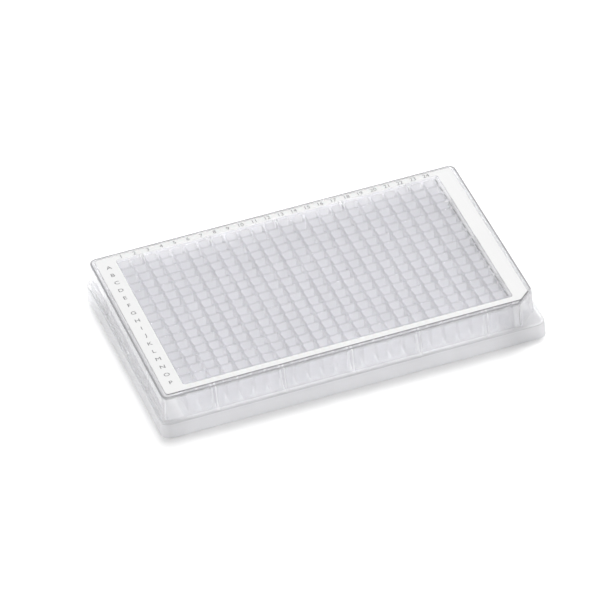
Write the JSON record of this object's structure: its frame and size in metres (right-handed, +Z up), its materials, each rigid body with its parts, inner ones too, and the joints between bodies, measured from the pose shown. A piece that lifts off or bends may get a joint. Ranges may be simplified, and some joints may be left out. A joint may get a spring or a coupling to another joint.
{
  "type": "multiwell plate",
  "caption": "Clear low laboratory plate with a grid of square drafted wells, a printed white border, a stepped base skirt and one keyed corner.",
  "frame": {"origin": "centre of the footprint, on the plane that the plate stands on", "axes": "+X along the long side from the first column to the last, +Y across the plate towards the first row, +Z up out of the wells"},
  "size_m": [0.1278, 0.0854, 0.0143],
  "materials": {
    "clear_polystyrene": "clear, polished mould finish",
    "white_ink": "matt printed ink"
  },
  "bodies": {
    "root": {"plate_body": "clear_polystyrene", "border_print": "white_ink"}
  },
  "joints": []
}
